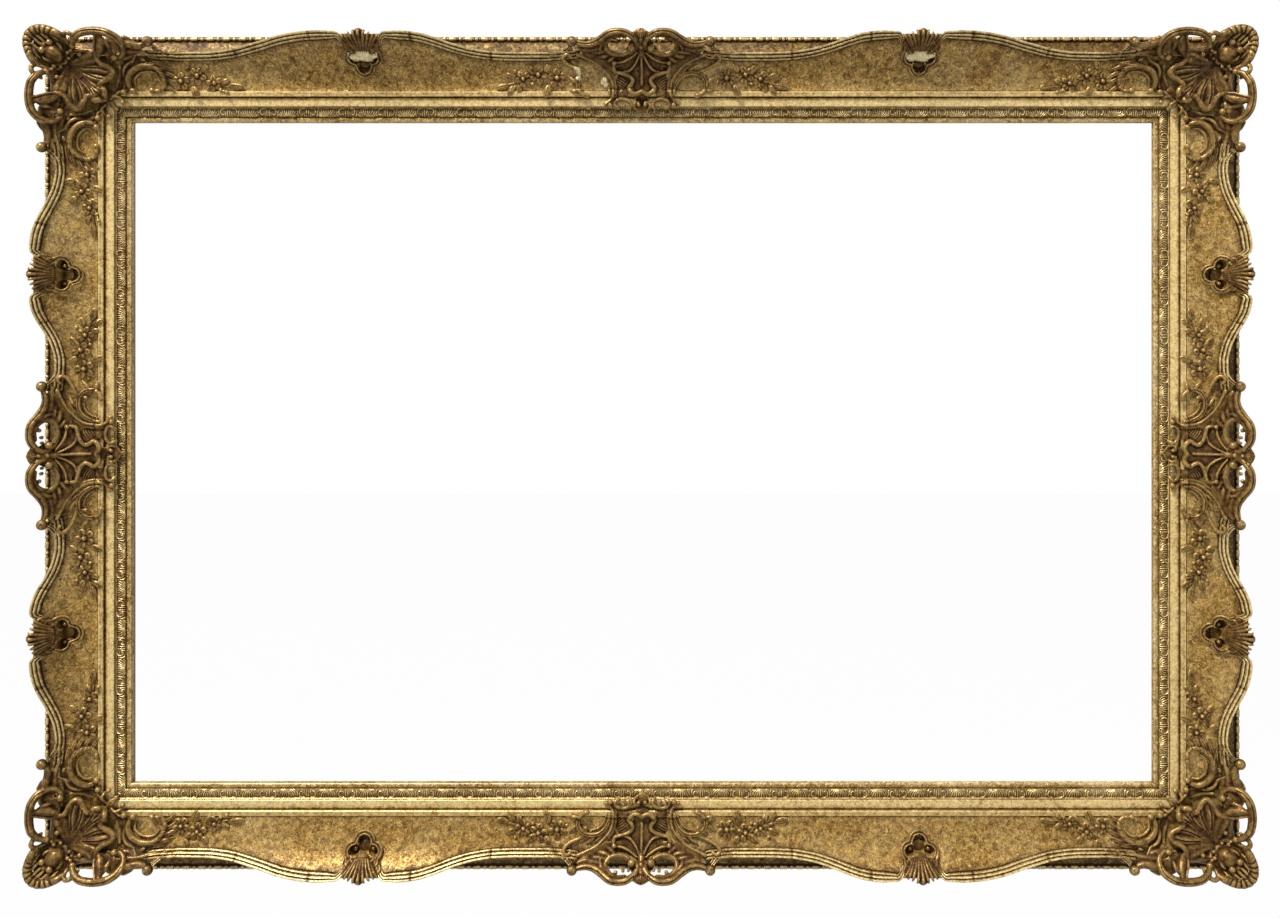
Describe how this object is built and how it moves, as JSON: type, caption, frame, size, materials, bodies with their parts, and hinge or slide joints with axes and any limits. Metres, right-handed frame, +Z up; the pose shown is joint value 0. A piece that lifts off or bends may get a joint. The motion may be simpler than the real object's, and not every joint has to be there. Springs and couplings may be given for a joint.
{
  "type": "ornate gilded picture frame",
  "caption": "Gilded wooden picture frame with a deep cove, a winding reeded ridge, pierced corner and centre ornaments, flower sprays, a carved sight slip and back hardware.",
  "frame": {"origin": "centre of the sight opening, on the wall plane that the back pads touch", "axes": "+X to the right seen from the front, +Y into the wall, +Z up; the front faces -Y"},
  "size_m": [1.1648, 0.0715, 0.8148],
  "materials": {
    "back_wood": "aged bare pine, unfinished back",
    "key_wood": "hardwood key, unfinished",
    "cove_gilding": "antique gilding over red bole, rubbed and speckled, satin",
    "slip_gilding": "antique gilding with dark toning in the carving, satin",
    "bead_gilding": "dark toned gilding, satin",
    "ridge_gilding": "rubbed gilding with light high points, satin",
    "ornament_gilding": "gilded composition with dark toning in the hollows, satin",
    "spray_gilding": "gilded composition, satin",
    "strap_brass": "plated strap, satin",
    "ring_brass": "plated wire, satin",
    "screw_steel": "plated pan-head screws",
    "button_steel": "plated pressed steel",
    "pad_felt": "dense felt"
  },
  "bodies": {
    "root": {"back_rail_bottom": "back_wood", "back_rail_left": "back_wood", "back_rail_right": "back_wood", "back_rail_top": "back_wood", "bead_strip_bottom": "bead_gilding", "bead_strip_left": "bead_gilding", "bead_strip_right": "bead_gilding", "bead_strip_top": "bead_gilding", "centre_ornament_bottom": "ornament_gilding", "centre_ornament_left": "ornament_gilding", "centre_ornament_right": "ornament_gilding", "centre_ornament_top": "ornament_gilding", "centre_sprays_bottom": "spray_gilding", "centre_sprays_left": "spray_gilding", "centre_sprays_right": "spray_gilding", "centre_sprays_top": "spray_gilding", "clip_ornament_bottom_first": "ornament_gilding", "clip_ornament_bottom_second": "ornament_gilding", "clip_ornament_left_first": "ornament_gilding", "clip_ornament_left_second": "ornament_gilding", "clip_ornament_right_first": "ornament_gilding", "clip_ornament_right_second": "ornament_gilding", "clip_ornament_top_first": "ornament_gilding", "clip_ornament_top_second": "ornament_gilding", "corner_ornament_bottom_left": "ornament_gilding", "corner_ornament_bottom_right": "ornament_gilding", "corner_ornament_top_left": "ornament_gilding", "corner_ornament_top_right": "ornament_gilding", "corner_sprays_bottom_left": "spray_gilding", "corner_sprays_bottom_right": "spray_gilding", "corner_sprays_top_left": "spray_gilding", "corner_sprays_top_right": "spray_gilding", "cove_moulding_bottom": "cove_gilding", "cove_moulding_left": "cove_gilding", "cove_moulding_right": "cove_gilding", "cove_moulding_top": "cove_gilding", "hanger_screws": "screw_steel", "hanger_strap_left": "strap_brass", "hanger_strap_right": "strap_brass", "mitre_keys": "key_wood", "sight_slip_bottom": "slip_gilding", "sight_slip_left": "slip_gilding", "sight_slip_right": "slip_gilding", "sight_slip_top": "slip_gilding", "swept_ridge_bottom": "ridge_gilding", "swept_ridge_left": "ridge_gilding", "swept_ridge_right": "ridge_gilding", "swept_ridge_top": "ridge_gilding", "turn_button_screws": "screw_steel", "wall_pads": "pad_felt"},
    "ring_left": {"hanger_ring_left": "ring_brass"},
    "ring_right": {"hanger_ring_right": "ring_brass"},
    "button_top_left": {"turn_button_top_left": "button_steel"},
    "button_top_right": {"turn_button_top_right": "button_steel"},
    "button_bottom_left": {"turn_button_bottom_left": "button_steel"},
    "button_bottom_right": {"turn_button_bottom_right": "button_steel"},
    "button_left": {"turn_button_left": "button_steel"},
    "button_right": {"turn_button_right": "button_steel"}
  },
  "joints": [
    {"name": "ring_left_swing", "type": "hinge", "parent": "root", "child": "ring_left", "pos_m": [-0.539, -0.00295, 0.13], "axis": [1, 0, 0], "range_deg": [0, 180]},
    {"name": "ring_right_swing", "type": "hinge", "parent": "root", "child": "ring_right", "pos_m": [0.539, -0.00295, 0.13], "axis": [1, 0, 0], "range_deg": [0, 180]},
    {"name": "button_top_left_turn", "type": "hinge", "parent": "root", "child": "button_top_left", "pos_m": [-0.22275, -0.0052, 0.335], "axis": [0, 1, 0], "continuous": true},
    {"name": "button_top_right_turn", "type": "hinge", "parent": "root", "child": "button_top_right", "pos_m": [0.22275, -0.0052, 0.335], "axis": [0, 1, 0], "continuous": true},
    {"name": "button_bottom_left_turn", "type": "hinge", "parent": "root", "child": "button_bottom_left", "pos_m": [-0.22275, -0.0052, -0.335], "axis": [0, 1, 0], "continuous": true},
    {"name": "button_bottom_right_turn", "type": "hinge", "parent": "root", "child": "button_bottom_right", "pos_m": [0.22275, -0.0052, -0.335], "axis": [0, 1, 0], "continuous": true},
    {"name": "button_left_turn", "type": "hinge", "parent": "root", "child": "button_left", "pos_m": [-0.51, -0.0052, 0], "axis": [0, 1, 0], "continuous": true},
    {"name": "button_right_turn", "type": "hinge", "parent": "root", "child": "button_right", "pos_m": [0.51, -0.0052, 0], "axis": [0, 1, 0], "continuous": true}
  ]
}
